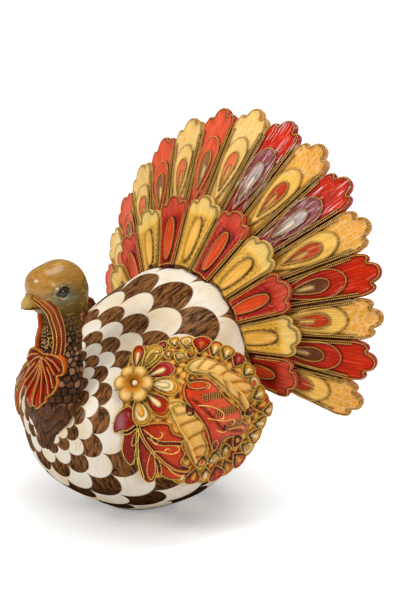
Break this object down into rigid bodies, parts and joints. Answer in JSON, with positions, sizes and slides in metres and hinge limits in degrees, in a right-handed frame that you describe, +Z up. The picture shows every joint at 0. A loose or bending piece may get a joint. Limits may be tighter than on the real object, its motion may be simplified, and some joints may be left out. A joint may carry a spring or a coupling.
{
  "type": "turkey figure",
  "caption": "Standing turkey figure of painted cast resin with a fanned tail in two rows, folded relief wings, a round body and a felt-covered base.",
  "frame": {"origin": "centre of the felt pad's underside, where the figure rests on a table", "axes": "+Z up, -Y towards the beak, +X towards the bird's own left wing; the two sides mirror each other across X = 0"},
  "size_m": [0.3732, 0.2929, 0.3538],
  "materials": {
    "body_enamel": "gloss",
    "felt_green": "felt",
    "plug_resin": "matt",
    "neck_scales": "satin",
    "head_olive": "gloss",
    "beak_horn": "gloss",
    "eye_dark": "gloss",
    "snood_orange": "gloss",
    "wattle_red": "gloss",
    "dowel_steel": "brushed",
    "backing_gold": "satin",
    "outer_gold": "satin",
    "outer_red": "satin",
    "inner_rose": "satin",
    "inner_amber": "satin",
    "wing_gold": "satin",
    "leaf_red": "satin",
    "leaf_rose": "satin",
    "leaf_amber": "satin",
    "petal_paint": "satin",
    "blossom_cream": "satin"
  },
  "bodies": {
    "root": {"body_shell": "body_enamel", "felt_pad": "felt_green", "base_plug": "plug_resin", "neck": "neck_scales", "head": "head_olive", "neck_dowel": "dowel_steel", "head_dowel": "dowel_steel", "upper_beak": "beak_horn", "lower_beak": "beak_horn", "snood": "snood_orange", "wattle": "wattle_red", "left_eye": "eye_dark", "right_eye": "eye_dark", "tail_backing": "backing_gold", "left_tail_dowel": "dowel_steel", "right_tail_dowel": "dowel_steel", "outer_feather_01": "outer_gold", "outer_feather_02": "outer_red", "outer_feather_03": "outer_gold", "outer_feather_04": "outer_red", "outer_feather_05": "outer_gold", "outer_feather_06": "outer_red", "outer_feather_07": "outer_gold", "outer_feather_08": "outer_red", "outer_feather_09": "outer_gold", "outer_feather_10": "outer_red", "outer_feather_11": "outer_gold", "outer_feather_12": "outer_red", "outer_feather_13": "outer_gold", "outer_feather_14": "outer_red", "outer_feather_15": "outer_gold", "outer_feather_16": "outer_red", "outer_feather_17": "outer_gold", "inner_feather_01": "inner_rose", "inner_feather_02": "inner_amber", "inner_feather_03": "inner_rose", "inner_feather_04": "inner_amber", "inner_feather_05": "inner_rose", "inner_feather_06": "inner_amber", "inner_feather_07": "inner_rose", "inner_feather_08": "inner_amber", "inner_feather_09": "inner_rose", "inner_feather_10": "inner_amber", "inner_feather_11": "inner_rose", "left_wing_base": "wing_gold", "left_wing_front_red_leaf": "leaf_red", "left_wing_front_gold_leaf": "leaf_amber", "left_wing_rear_red_leaf": "leaf_rose", "left_wing_rear_gold_leaf": "leaf_amber", "left_wing_petals": "petal_paint", "left_wing_blossom": "blossom_cream", "right_wing_base": "wing_gold", "right_wing_front_red_leaf": "leaf_red", "right_wing_front_gold_leaf": "leaf_amber", "right_wing_rear_red_leaf": "leaf_rose", "right_wing_rear_gold_leaf": "leaf_amber", "right_wing_petals": "petal_paint", "right_wing_blossom": "blossom_cream"}
  },
  "joints": []
}
